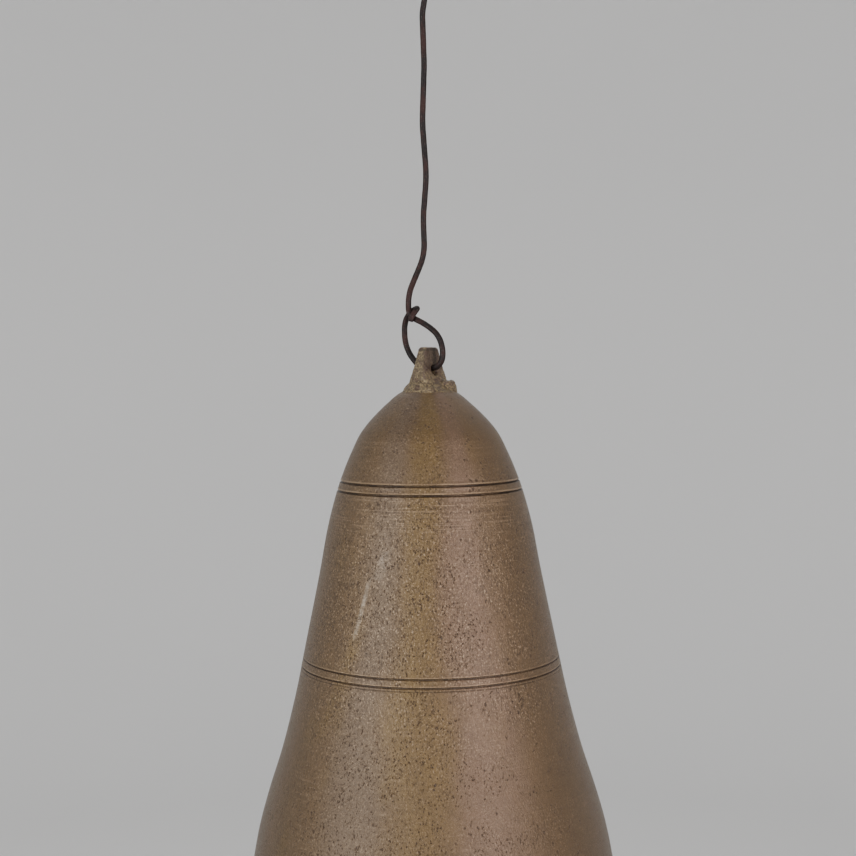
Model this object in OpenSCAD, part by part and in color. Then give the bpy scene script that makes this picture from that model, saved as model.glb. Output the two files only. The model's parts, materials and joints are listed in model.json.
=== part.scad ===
// Hanging bell: a turned bronze bell on a hand-bent iron wire and a screw hook.
// Millimetres, +Z up. The origin is on the face of the beam, where the shank of
// the hook goes in, and everything hangs plumb below it.

/* [Bell] */
// Height of the wire in the lug above or below the beam's face
lug_z = -240; // [-320:1:-220]
// Radius at the widest place, near the mouth
bell_r = 93; // [86:0.5:96]
// Depth of the mouth below the wire in the lug
bell_depth = 292; // [286:1:300]
// Thickness of the crown
crown_wall = 8; // [6:0.5:10]
// Thickness of the wall at the waist
waist_wall = 4.5; // [4:0.1:6]
// Thickness of the lip
lip_wall = 7; // [6:0.5:9]
// Width of each turned groove
groove_w = 1.4; // [0.8:0.1:2]
// Depth of each turned groove
groove_depth = 0.9; // [0.4:0.1:1.2]

/* [Lug] */
// Height of the lug above the wire in it
lug_top = 10.3; // [9:0.1:12]
// Diameter of the hole through the lug
lug_hole_d = 5.6; // [5:0.1:6]

/* [Wire] */
// Diameter of the iron wire
wire_d = 2.9; // [2.5:0.1:3]
// Inner radius of the wire's top eye
eye_inner_r = 6.5; // [6:0.1:8]

/* [Screw hook] */
// Diameter of the hook's bar
hook_d = 5; // [4:0.5:5]
// Inner radius of the hook's bowl
hook_inner_r = 8; // [7.5:0.5:10]
// Diameter of the screwed shank
shank_d = 4.8; // [3.8:0.1:4.8]
// Length of the screwed shank above the beam's face, without its point
shank_len = 20; // [14:1:34]

/* [Clapper] */
// Diameter of the clapper's ball
ball_d = 34; // [28:1:36]
// Depth of the ball's middle below the wire in the lug
ball_depth = 258; // [250:1:262]
// Diameter of the staple's bar
staple_d = 4; // [3.5:0.1:4.5]
// Diameter of the link's bar
link_d = 3.5; // [3:0.1:4]
// Inner radius of the link
link_inner_r = 7; // [6.5:0.1:8]
// Diameter of the clapper's rod
rod_d = 7; // [6:0.5:8]

/* [Hidden] */

smooth = 64;
bronze = [0.45, 0.37, 0.28];
old_iron = [0.17, 0.15, 0.14];
rubbed_iron = [0.30, 0.27, 0.25];

// Bars that hang on one another are this far apart.
hang_gap = 0.12;
wire_r = wire_d / 2;
hook_r = hook_d / 2;
staple_r = staple_d / 2;
link_r = link_d / 2;

// ---- Bars bent in one plane -------------------------------------------------
// A bar's course is a list of [straight run, bend radius, turn in degrees], with
// a left turn positive. followed() gives its stations as [x, y, heading].
turn_step = 15;
run_step = 12;

function after_bend(at, radius, turn) =
    let (side = sign(turn) * radius, heading = at[2] + turn)
    [
        at[0] + side * (sin(heading) - sin(at[2])),
        at[1] + side * (cos(at[2]) - cos(heading)),
        heading
    ];

function after_run(at, run) =
    [at[0] + run * cos(at[2]), at[1] + run * sin(at[2]), at[2]];

function followed(at, steps, i = 0) =
    i == len(steps) ? [] :
    let (
        run = steps[i][0],
        radius = steps[i][1],
        turn = steps[i][2],
        bend_start = after_run(at, run),
        runs = ceil(run / run_step),
        bends = ceil(max(abs(turn) / turn_step, radius * abs(turn) * PI / 180 / run_step))
    )
    concat(
        [if (run > 0) for (k = [1:runs]) after_run(at, run * k / runs)],
        [if (turn != 0) for (k = [1:bends]) after_bend(bend_start, radius, turn * k / bends)],
        followed(after_bend(bend_start, radius, turn), steps, i + 1)
    );

// The bends are a hair slimmer than the round stretches that carry load, so the
// two join cleanly.
bend_slack = 0.02;

module bent_bar(stations, r, sides) {
    slim = r - bend_slack;
    rings = len(stations);
    points = [
        for (at = stations, k = [0:sides - 1])
            let (out = slim * cos(360 * k / sides), up = slim * sin(360 * k / sides))
            [at[0] + out * sin(at[2]), at[1] - out * cos(at[2]), up]
    ];
    walls = [
        for (i = [0:rings - 2], k = [0:sides - 1])
            let (next = (k + 1) % sides)
            [i * sides + next, (i + 1) * sides + next, (i + 1) * sides + k, i * sides + k]
    ];
    first_cap = [for (k = [sides - 1:-1:0]) k];
    last_cap = [for (k = [0:sides - 1]) (rings - 1) * sides + k];
    polyhedron(points = points, faces = concat([first_cap], walls, [last_cap]), convexity = 8);
}

module in_xz_plane() {
    rotate([90, 0, 0]) children();
}

module in_yz_plane() {
    rotate([90, 0, 90]) children();
}

module ring(radius, r) {
    rotate_extrude($fn = smooth)
        translate([radius, 0])
            circle(r = r, $fn = smooth);
}

// ---- Screw hook -------------------------------------------------------------
// The bowl's lowest stretch is a straight seat for the wire's eye, centred under
// the shank. The bend below the shank leans the bar out just far enough for that.
hook_seat = 5;
hook_neck_run = 6;
hook_neck_r = 5;
hook_bowl_r = hook_inner_r + hook_r;
hook_lean = acos((hook_neck_r - hook_seat / 2) / (hook_neck_r + hook_bowl_r));
seat_z = -hook_neck_run - (hook_neck_r + hook_bowl_r) * sin(hook_lean) - hook_bowl_r;
shank_tip = 6;
// The shank runs down into the bar this far below the beam's face.
shank_root = 3;
hook_start = [0, 0, -90];

module screw_hook() {
    color(old_iron) {
        translate([0, 0, -shank_root])
            cylinder(h = shank_root + shank_len, d = shank_d, $fn = smooth);
        translate([0, 0, shank_len])
            cylinder(h = shank_tip, d1 = shank_d, d2 = 0.8, $fn = smooth);
        in_yz_plane()
            bent_bar(concat([hook_start], followed(hook_start, [
                [hook_neck_run, hook_neck_r, hook_lean],
                [0, hook_bowl_r, -90 - hook_lean],
                [hook_seat, hook_bowl_r, -105],
                [3, 0, 0]
            ])), hook_r, 20);
        translate([0, 0, seat_z])
            rotate([90, 0, 0])
                cylinder(h = hook_seat, r = hook_r, center = true, $fn = smooth);
    }
}

// ---- Hanging wire -----------------------------------------------------------
// From the lug's hole the wire bends round to the right and up into the long
// standing part, which jogs back under the hook at its top. The slanting run above
// the loop takes up what is left sideways, and the last run what is left upwards.
lug_run = 2.8;
eye_r = eye_inner_r + wire_r;
eye_z = seat_z + hook_r + hang_gap - eye_inner_r;
neck_z = eye_z - eye_r;

slant = 60;
loop_bends = [
    [lug_run, 6.5, 85],
    [0, 14, 60],
    [0, 45, 12],
    [4.6, 6, -67],
    [1.5, 20, -30]
];
standing_bends = [
    [0, 22, 32],
    [8, 60, -8.5],
    [10, 60, 11.5],
    [16, 60, -8],
    [22, 60, 5],
    [20, 20, -14],
    [4, 20, 12]
];
start = [0, 0, 0];
loop_top = followed(start, loop_bends);
standing_span = followed([0, 0, slant], standing_bends);
bends_end = loop_top[len(loop_top) - 1] + standing_span[len(standing_span) - 1];
slant_run = -bends_end[0] / cos(slant);
neck_run = neck_z - lug_z - bends_end[1] - slant_run * sin(slant);

free_arm_bends = [
    [lug_run, 6, -45],
    [4.5, 18, -45],
    [0, 20, -22],
    [2.5, wire_d, -180],
    [3, 0, 0]
];

// The end is wound round the neck below the eye, one turn against the next.
wraps = 3;
wrap_r = wire_d;
wrap_half = 75;
wrap_top = neck_z - 1;
wraps_section = concat(
    [[0, wrap_top]],
    [
        for (i = [0:wraps - 1], a = [wrap_half:-wrap_half / 3:-wrap_half])
            [wrap_r + wire_r * cos(a), wrap_top - wire_r - i * wire_d + wire_r * sin(a)]
    ],
    [[0, wrap_top - wraps * wire_d]]
);

module hanging_wire() {
    color(old_iron) {
        translate([0, 0, lug_z])
            in_xz_plane() {
                bent_bar(concat([start], followed(start, concat(
                    loop_bends,
                    [[slant_run, 0, 0]],
                    standing_bends,
                    [[neck_run, 0, 0]]
                ))), wire_r, 12);
                bent_bar(concat([[0, 0, 180]], followed([0, 0, 180], free_arm_bends)), wire_r, 12);
            }
        translate([0, 0, lug_z])
            rotate([0, 90, 0])
                cylinder(h = 2 * lug_run, r = wire_r, center = true, $fn = smooth);
        translate([0, 0, eye_z])
            in_xz_plane()
                ring(eye_r, wire_r);
        rotate_extrude($fn = smooth)
            polygon(wraps_section);
    }
}

// ---- Bell -------------------------------------------------------------------
// Outline stations as [depth below the wire in the lug, radius]. Between them
// the outline is one smooth curve.
outline = [
    [9.5, 9.0],
    [12.5, 14.6],
    [17.5, 20.7],
    [23, 26.5],
    [31, 33.3],
    [42, 39.0],
    [57, 45.0],
    [76, 50.4],
    [100, 55.0],
    [137, 62.6],
    [165, 68.5],
    [190, 75.1],
    [212, 82.3],
    [228, 86.8],
    [241, 89.5],
    [262, bell_r - 0.7],
    [279, bell_r],
    [bell_depth, bell_r - 1.2]
];
crown_depth = outline[0][0];
last = len(outline) - 1;
groove_depths = [56, 60.4, 143.5, 147.6, 270, 274];
wall_table = [
    [crown_depth, crown_wall],
    [60, 5.5],
    [120, waist_wall],
    [200, waist_wall],
    [262, lip_wall],
    [bell_depth, lip_wall]
];
lip_r = lip_wall / 2;
outline_step = 4;

function rise(i) = (outline[i + 1][1] - outline[i][1]) / (outline[i + 1][0] - outline[i][0]);
function gap_after(i) = outline[i + 1][0] - outline[i][0];
function station_slope(i) =
    i == 0 ? rise(0) :
    i == last ? rise(last - 1) :
    (rise(i - 1) * gap_after(i) + rise(i) * gap_after(i - 1)) / (gap_after(i) + gap_after(i - 1));

function stretch_of(depth, i = 0) =
    i >= last - 1 || depth < outline[i + 1][0] ? i : stretch_of(depth, i + 1);

// A cubic curve through the two stations of a stretch, with the slope at each.
function curve(t, a, b, a_rise, b_rise) =
    a * (2 * pow(t, 3) - 3 * pow(t, 2) + 1) + b * (3 * pow(t, 2) - 2 * pow(t, 3))
    + a_rise * (pow(t, 3) - 2 * pow(t, 2) + t) + b_rise * (pow(t, 3) - pow(t, 2));

function smooth_r(depth) =
    let (i = stretch_of(depth), gap = gap_after(i), t = (depth - outline[i][0]) / gap)
    curve(t, outline[i][1], outline[i + 1][1], gap * station_slope(i), gap * station_slope(i + 1));

function slope_at(depth) = (smooth_r(depth + 0.1) - smooth_r(depth - 0.1)) / 0.2;

function groove_cut(depth) = max([
    for (g = groove_depths)
        groove_depth * max(0, 1 - abs(depth - g) / (groove_w / 2))
]);

function outer_point(depth) = [smooth_r(depth) - groove_cut(depth), -depth];

// The inside is the outside moved in by the wall, square to the outline.
function inner_point(depth) =
    let (s = slope_at(depth), square = sqrt(1 + s * s), wall = lookup(depth, wall_table))
    [smooth_r(depth) - wall / square, -depth - wall * s / square];

lip_depth = bell_depth - lip_r;
groove_edges = [for (g = groove_depths, side = [-1, 0, 1]) g + side * groove_w / 2];
outer_marks = concat([crown_depth], groove_edges, [lip_depth]);

function in_steps(marks, step) = [
    for (k = [0:len(marks) - 2])
        let (gap = marks[k + 1] - marks[k], n = ceil(gap / step))
        for (j = [0:n - 1]) marks[k] + gap * j / n
];

outer_wall = [for (depth = in_steps(outer_marks, outline_step)) outer_point(depth)];
inner_start = 11.5;
inner_wall = [for (depth = in_steps([inner_start, lip_depth], outline_step)) inner_point(depth)];
lip_centre = smooth_r(lip_depth) - lip_r;
lip = [for (a = [0:15:180]) [lip_centre + lip_r * cos(a), -lip_depth - lip_r * sin(a)]];
ceiling = inner_wall[0][1];

function reversed(list) = [for (i = [len(list) - 1:-1:0]) list[i]];

bell_section = concat(
    [[0, -crown_depth]], outer_wall, lip, reversed(inner_wall), [[0, ceiling]]
);

// The cast lug: a flat tongue that spreads down to a round foot on the crown.
// Each level is [height above the wire, size along X, size along Y].
lug_levels = [
    [lug_top - 1.5, 5.3, 9.6],
    [1.5, 6.6, 13.5],
    [-6.5, 11.5, 17.5]
];
lug_foot_r = 13.4;
lug_foot_z = -12.4;

module lug_slab(level, high = 0.5) {
    corner = 1.5;
    translate([0, 0, level[0]])
        for (x = [-1, 1], y = [-1, 1])
            translate([x * (level[1] / 2 - corner), y * (level[2] / 2 - corner), 0])
                cylinder(h = high, r = corner, $fn = 24);
}

module lug_head() {
    translate([0, 0, lug_top - 0.4])
        cube([lug_levels[0][1] - 2, lug_levels[0][2] - 2.4, 0.8], center = true);
}

module lug() {
    hull() {
        lug_head();
        lug_slab(lug_levels[0]);
        lug_slab(lug_levels[1]);
    }
    hull() {
        lug_slab(lug_levels[1]);
        lug_slab(lug_levels[2]);
    }
    hull() {
        lug_slab(lug_levels[2]);
        translate([0, 0, lug_foot_z])
            cylinder(h = 1.5, r = lug_foot_r, $fn = 48);
    }
}

lug_hole_r = lug_hole_d / 2;
lug_hole_z = -(lug_hole_r - wire_r - hang_gap);

// ---- Clapper's staple, link and rod ----------------------------------------
staple_half = 8;
staple_bend = 5.5;
staple_seat = 2 * (staple_half - staple_bend);
staple_depth = 36;
staple_root_depth = 13.5;
staple_leg = staple_depth - staple_bend - staple_root_depth;

module bell() {
    color(bronze)
        translate([0, 0, lug_z])
            difference() {
                union() {
                    rotate_extrude($fn = smooth)
                        polygon(bell_section);
                    lug();
                }
                translate([0, 0, lug_hole_z])
                    rotate([0, 90, 0])
                        cylinder(h = 30, r = lug_hole_r, center = true, $fn = smooth);
                for (side = [-1, 1])
                    translate([0, side * staple_half, -staple_root_depth - 10])
                        cylinder(h = 10, r = staple_r, $fn = smooth);
            }
}

module crown_staple() {
    color(old_iron)
        translate([0, 0, lug_z - staple_depth]) {
            rotate([90, 0, 0])
                cylinder(h = staple_seat, r = staple_r, center = true, $fn = smooth);
            for (side = [0, 180])
                rotate([0, 0, side]) {
                    translate([0, staple_seat / 2, staple_bend])
                        in_yz_plane()
                            rotate([0, 0, -90])
                                rotate_extrude(angle = 90, $fn = smooth)
                                    translate([staple_bend, 0])
                                        circle(r = staple_r, $fn = smooth);
                    translate([0, staple_half, staple_bend])
                        cylinder(h = staple_leg, r = staple_r, $fn = smooth);
                }
        }
}

link_centre_r = link_inner_r + link_r;
link_centre_z = lug_z - staple_depth + staple_r + hang_gap - link_inner_r;
clapper_pivot_z = link_centre_z - link_centre_r;

module clapper_link() {
    color(rubbed_iron)
        translate([0, 0, link_centre_z])
            in_xz_plane()
                ring(link_centre_r, link_r);
}

rod_r = rod_d / 2;
spigot_r = 3;
rod_eye_bar_r = 2.5;
rod_eye_inner_r = 5;
rod_eye_z = clapper_pivot_z + link_r + hang_gap - rod_eye_inner_r;
rod_top = rod_eye_z - rod_eye_inner_r - rod_eye_bar_r;
ball_r = ball_d / 2;
ball_z = lug_z - ball_depth;
ball_flat = ball_r - 1.5;
bore_play = 0.05;
washer_r = 6.5;
washer_thick = 1.6;
washer_z = ball_z - ball_flat - washer_thick;
peen_r = 4.4;
peen_thick = 2;

module clapper_rod() {
    color(rubbed_iron) {
        translate([0, 0, rod_eye_z])
            in_yz_plane()
                ring(rod_eye_inner_r + rod_eye_bar_r, rod_eye_bar_r);
        translate([0, 0, ball_z + ball_flat])
            cylinder(h = rod_top - ball_z - ball_flat, r = rod_r, $fn = smooth);
        translate([0, 0, washer_z])
            cylinder(h = washer_thick + 2 * ball_flat, r = spigot_r, $fn = smooth);
        translate([0, 0, washer_z - peen_thick])
            cylinder(h = peen_thick, r1 = spigot_r, r2 = peen_r, $fn = smooth);
    }
}

module clapper_ball() {
    color(rubbed_iron)
        translate([0, 0, ball_z])
            difference() {
                intersection() {
                    sphere(r = ball_r, $fn = smooth);
                    cylinder(h = 2 * ball_flat, r = ball_d, center = true, $fn = smooth);
                }
                cylinder(h = ball_d, r = spigot_r + bore_play, center = true, $fn = smooth);
            }
}

module clapper_washer() {
    color(rubbed_iron)
        translate([0, 0, washer_z])
            difference() {
                cylinder(h = washer_thick, r = washer_r, $fn = smooth);
                translate([0, 0, -1])
                    cylinder(h = washer_thick + 2, r = spigot_r + bore_play, $fn = smooth);
            }
}

screw_hook();
hanging_wire();
bell();
crown_staple();
clapper_link();
clapper_rod();
clapper_ball();
clapper_washer();
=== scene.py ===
"""A turned bronze bell on a hand-bent iron wire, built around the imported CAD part."""

import json
import math

import bmesh
import bpy
import numpy as np
from mathutils import Matrix, Vector, noise


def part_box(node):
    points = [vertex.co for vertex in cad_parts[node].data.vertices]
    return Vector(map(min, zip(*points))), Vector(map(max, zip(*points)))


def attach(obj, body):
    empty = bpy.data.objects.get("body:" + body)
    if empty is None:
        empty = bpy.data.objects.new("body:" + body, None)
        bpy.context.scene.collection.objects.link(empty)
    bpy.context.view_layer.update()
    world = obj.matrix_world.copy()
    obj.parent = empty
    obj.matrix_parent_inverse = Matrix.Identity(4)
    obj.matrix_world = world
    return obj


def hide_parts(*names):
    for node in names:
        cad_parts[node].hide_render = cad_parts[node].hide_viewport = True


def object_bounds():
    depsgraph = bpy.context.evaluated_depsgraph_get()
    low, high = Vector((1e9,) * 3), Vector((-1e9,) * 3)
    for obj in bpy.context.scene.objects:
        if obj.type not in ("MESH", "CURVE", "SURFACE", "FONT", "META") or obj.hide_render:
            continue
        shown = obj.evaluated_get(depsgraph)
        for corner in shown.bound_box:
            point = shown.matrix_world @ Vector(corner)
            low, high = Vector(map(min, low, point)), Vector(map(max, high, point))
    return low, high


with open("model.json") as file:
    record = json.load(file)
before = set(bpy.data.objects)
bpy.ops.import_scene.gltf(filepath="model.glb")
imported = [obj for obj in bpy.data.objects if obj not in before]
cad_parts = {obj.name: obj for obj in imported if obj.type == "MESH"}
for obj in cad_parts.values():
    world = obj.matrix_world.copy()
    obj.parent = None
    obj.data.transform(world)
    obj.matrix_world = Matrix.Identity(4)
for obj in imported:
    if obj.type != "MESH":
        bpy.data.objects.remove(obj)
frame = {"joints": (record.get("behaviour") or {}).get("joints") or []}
cad_low, cad_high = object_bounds()

MM = 0.001
TAU = 2 * math.pi

# The places where the pieces hang on one another, from the joints.
AT = {joint["name"]: Vector(joint["pos_m"]) for joint in frame["joints"]}
HOOK_SEAT = AT["wire_swing"]
LUG_WIRE = AT["bell_swing"]
STAPLE_SEAT = AT["link_twist"]
LINK_SEAT = AT["clapper_swing"]


# ---- Camera -----------------------------------------------------------------

CAMERA_AZIMUTH = 40
CAMERA_PITCH = 2.1
CAMERA_ROLL = 0.55
CAMERA_DISTANCE = 717.5 * MM
EYE_DROP = 3.7 * MM
EYE_LEFT = 0.5 * MM
LENS = 60.35


def camera_directions():
    """Level unit vectors to the right and towards the camera, as the bell sees it."""
    azimuth = math.radians(CAMERA_AZIMUTH)
    right = np.array([math.cos(azimuth), math.sin(azimuth), 0])
    nearer = np.array([math.sin(azimuth), -math.cos(azimuth), 0])
    return right, nearer


def make_camera():
    data = bpy.data.cameras.new("camera")
    data.lens = LENS
    data.clip_start = 0.05
    camera = bpy.data.objects.new("camera", data)
    bpy.context.scene.collection.objects.link(camera)
    right, back = (Vector(direction) for direction in camera_directions())
    turn = (
        Matrix.Rotation(math.radians(CAMERA_AZIMUTH), 4, "Z")
        @ Matrix.Rotation(math.radians(90 - CAMERA_PITCH), 4, "X")
        @ Matrix.Rotation(math.radians(-CAMERA_ROLL), 4, "Z")
    )
    eye = LUG_WIRE + CAMERA_DISTANCE * back - EYE_LEFT * right - Vector((0, 0, EYE_DROP))
    camera.matrix_world = Matrix.Translation(eye) @ turn
    bpy.context.scene.camera = camera


make_camera()


# ---- Shapes -----------------------------------------------------------------

def new_piece(name, points, faces):
    mesh = bpy.data.meshes.new(name)
    mesh.from_pydata([tuple(p) for p in points], [], [tuple(f) for f in faces])
    mesh.validate()
    piece = bpy.data.objects.new(name, mesh)
    bpy.context.scene.collection.objects.link(piece)
    outward(piece)
    mesh.shade_smooth()
    return piece


def outward(piece):
    """Turns every face of a closed mesh to look out."""
    shape = bmesh.new()
    shape.from_mesh(piece.data)
    bmesh.ops.recalc_face_normals(shape, faces=shape.faces)
    shape.to_mesh(piece.data)
    shape.free()


def grid_faces(rings, sides, closed=False):
    """Quads of a tube whose vertices come ring by ring."""
    count = rings if closed else rings - 1
    i, k = np.meshgrid(np.arange(count), np.arange(sides), indexing="ij")
    here, there = i * sides, (i + 1) % rings * sides
    after = (k + 1) % sides
    quads = np.stack([here + k, there + k, there + after, here + after], axis=-1)
    return quads.reshape(-1, 4).tolist()


def turned(name, radius, height, sides, bored=False):
    """A solid of revolution about Z. Its section is closed by its bore or on the axis."""
    rings = len(radius)
    turn = TAU * np.arange(sides) / sides
    points = np.stack([
        radius[:, None] * np.cos(turn),
        radius[:, None] * np.sin(turn),
        np.broadcast_to(height[:, None], (rings, sides)),
    ], axis=-1).reshape(-1, 3)
    faces = grid_faces(rings, sides, closed=bored)
    if not bored:
        first, last = len(points), len(points) + 1
        points = np.vstack([points, [[0, 0, height[0]], [0, 0, height[-1]]]])
        end = (rings - 1) * sides
        for k in range(sides):
            after = (k + 1) % sides
            faces.append([k, after, first])
            faces.append([end + after, end + k, last])
    return new_piece(name, points, faces)


def apply_modifiers(piece):
    depsgraph = bpy.context.evaluated_depsgraph_get()
    mesh = bpy.data.meshes.new_from_object(piece.evaluated_get(depsgraph))
    piece.modifiers.clear()
    old = piece.data
    piece.data = mesh
    bpy.data.meshes.remove(old)


def unit(rows):
    return rows / np.linalg.norm(rows, axis=1, keepdims=True)


def carried_frames(line, closed):
    """Two directions square to the line at each of its points, with no twist along it."""
    if closed:
        ahead = unit(np.roll(line, -1, axis=0) - np.roll(line, 1, axis=0))
    else:
        ahead = unit(np.gradient(line, axis=0))
    side = np.zeros_like(line)
    flat = np.abs(line - line[0]).max(axis=0)
    start = np.eye(3)[int(np.argmin(flat))]
    if abs(ahead[0] @ start) > 0.9:
        start = np.roll(start, 1)
    current = start - (start @ ahead[0]) * ahead[0]
    for i, direction in enumerate(ahead):
        current = current - (current @ direction) * direction
        current = current / np.linalg.norm(current)
        side[i] = current
    return side, np.cross(ahead, side)


def tube(name, line, radius, sides, closed=False):
    """A solid bar along a line. radius is one number, one for each ring, or a table of
    rings by sides."""
    line = np.asarray(line, dtype=float)
    rings = len(line)
    side, up = carried_frames(line, closed)
    turn = TAU * np.arange(sides) / sides
    radii = np.asarray(radius, dtype=float)
    if np.ndim(radius):
        radii = radii.reshape(rings, -1)
    radii = np.broadcast_to(radii, (rings, sides))
    points = (
        line[:, None, :]
        + radii[..., None] * np.cos(turn)[None, :, None] * side[:, None, :]
        + radii[..., None] * np.sin(turn)[None, :, None] * up[:, None, :]
    ).reshape(-1, 3)
    faces = grid_faces(rings, sides, closed)
    if not closed:
        faces.append(list(range(sides)))
        faces.append(list(range((rings - 1) * sides, rings * sides))[::-1])
    return new_piece(name, points, faces)


def resampled(points, step):
    """The same line with stations an even step apart, on a smooth curve through the points."""
    points = np.asarray(points, dtype=float)
    chord = np.linalg.norm(np.diff(points, axis=0), axis=1)
    keep = np.concatenate([[True], chord > 1e-6])
    points = points[keep]
    chord = np.linalg.norm(np.diff(points, axis=0), axis=1)
    knots = np.concatenate([[0], np.cumsum(chord)])
    slopes = np.zeros_like(points)
    pace = np.diff(points, axis=0) / chord[:, None]
    slopes[1:-1] = (pace[:-1] * chord[1:, None] + pace[1:] * chord[:-1, None]) / (
        chord[1:] + chord[:-1]
    )[:, None]
    slopes[0], slopes[-1] = pace[0], pace[-1]
    wanted = np.linspace(0, knots[-1], max(2, int(round(knots[-1] / step)) + 1))
    i = np.clip(np.searchsorted(knots, wanted, side="right") - 1, 0, len(chord) - 1)
    gap = chord[i][:, None]
    t = ((wanted - knots[i]) / chord[i])[:, None]
    return (
        points[i] * (2 * t**3 - 3 * t**2 + 1)
        + points[i + 1] * (3 * t**2 - 2 * t**3)
        + slopes[i] * gap * (t**3 - 2 * t**2 + t)
        + slopes[i + 1] * gap * (t**3 - t**2)
    )


def noise_field(points, scale, seed):
    """Smooth noise from -1 to 1 at each point, with features about scale across."""
    shift = Vector((seed * 7.31, seed * 3.17, seed * 5.73))
    return np.array([noise.noise(Vector(p) / scale + shift) for p in points])


def roughen(piece, layers, weight=None):
    """Moves each vertex along its normal by the layers of (feature size, height, seed)."""
    mesh = piece.data
    count = len(mesh.vertices)
    points = np.empty(count * 3)
    normals = np.empty(count * 3)
    mesh.vertices.foreach_get("co", points)
    mesh.vertices.foreach_get("normal", normals)
    points, normals = points.reshape(-1, 3), normals.reshape(-1, 3)
    move = sum(height * noise_field(points, size, seed) for size, height, seed in layers)
    if weight is not None:
        move = move * weight(points)
    mesh.vertices.foreach_set("co", (points + move[:, None] * normals).ravel())
    mesh.update()


def finished(piece, *materials):
    """Gives the piece these materials, the first one all over it."""
    mesh = piece.data
    mesh.materials.clear()
    for material in materials:
        mesh.materials.append(material)
    mesh.polygons.foreach_set("material_index", np.zeros(len(mesh.polygons), dtype=np.int32))
    return piece


def smoothstep(low, high, value):
    t = np.clip((value - low) / (high - low), 0, 1)
    return t * t * (3 - 2 * t)


# ---- Materials --------------------------------------------------------------

def srgb(red, green, blue):
    """A colour given in display values from 0 to 255, as the linear one that shaders take."""
    def linear(value):
        value = value / 255
        return value / 12.92 if value <= 0.04045 else ((value + 0.055) / 1.055) ** 2.4
    return (linear(red), linear(green), linear(blue), 1)


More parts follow.
